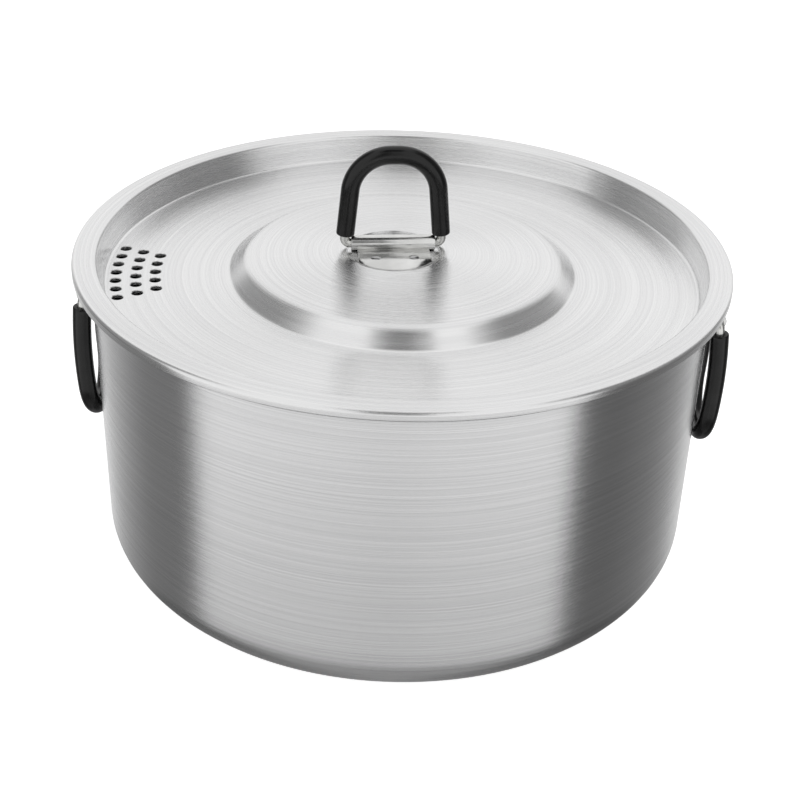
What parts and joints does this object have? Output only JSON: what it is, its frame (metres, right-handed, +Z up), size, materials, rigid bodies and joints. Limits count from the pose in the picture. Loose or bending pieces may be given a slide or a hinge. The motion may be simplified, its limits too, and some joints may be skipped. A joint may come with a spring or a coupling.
{
  "type": "stock pot",
  "caption": "Aluminium stock pot with a sunken strainer lid, a folding loop handle on the lid and drop loop handles at the sides",
  "frame": {"origin": "centre of the pot's underside, on the surface it stands on", "axes": "+Z up along the pot's axis; the two side handles hang on +X and -X; the lid's strainer holes lie towards -X and the open side of its bracket towards -Y, both turned 7 degrees with the loose lid"},
  "size_m": [0.2394, 0.236, 0.1542],
  "materials": {
    "pot_metal": "brushed around the axis",
    "lid_metal": "turned, fine concentric grooves",
    "strap_steel": "polished strip",
    "rivet_metal": "satin",
    "wire_steel": "drawn wire",
    "sleeve": "matt, slightly grained"
  },
  "bodies": {
    "pot": {"pot_base": "pot_metal", "pot_corner_low": "pot_metal", "pot_corner_high": "pot_metal", "pot_wall": "pot_metal", "pot_rim": "pot_metal", "left_bracket": "strap_steel", "left_rivets": "rivet_metal", "right_bracket": "strap_steel", "right_rivets": "rivet_metal"},
    "lid": {"lid_plateau": "lid_metal", "lid_floor": "lid_metal", "lid_flange": "lid_metal", "lid_bracket": "strap_steel", "lid_rivets": "rivet_metal"},
    "lid_handle": {"lid_handle_wire": "wire_steel", "lid_handle_sleeve": "sleeve"},
    "left_handle": {"left_handle_wire": "wire_steel", "left_handle_sleeve": "sleeve"},
    "right_handle": {"right_handle_wire": "wire_steel", "right_handle_sleeve": "sleeve"}
  },
  "joints": [
    {"name": "lid_lift", "type": "slide", "parent": "pot", "child": "lid", "axis": [0, 0, 1], "range_m": [0, 0.15]},
    {"name": "lid_handle_fold", "type": "hinge", "parent": "lid", "child": "lid_handle", "pos_m": [-0.00386, 0.00275, 0.1172], "axis": [0.9925, 0.1219, 0], "range_deg": [-55, 55]},
    {"name": "left_handle_swing", "type": "hinge", "parent": "pot", "child": "left_handle", "pos_m": [-0.11445, 0, 0.0993], "axis": [0, 1, 0], "range_deg": [0, 140]},
    {"name": "right_handle_swing", "type": "hinge", "parent": "pot", "child": "right_handle", "pos_m": [0.11445, 0, 0.0993], "axis": [0, -1, 0], "range_deg": [0, 140]}
  ]
}
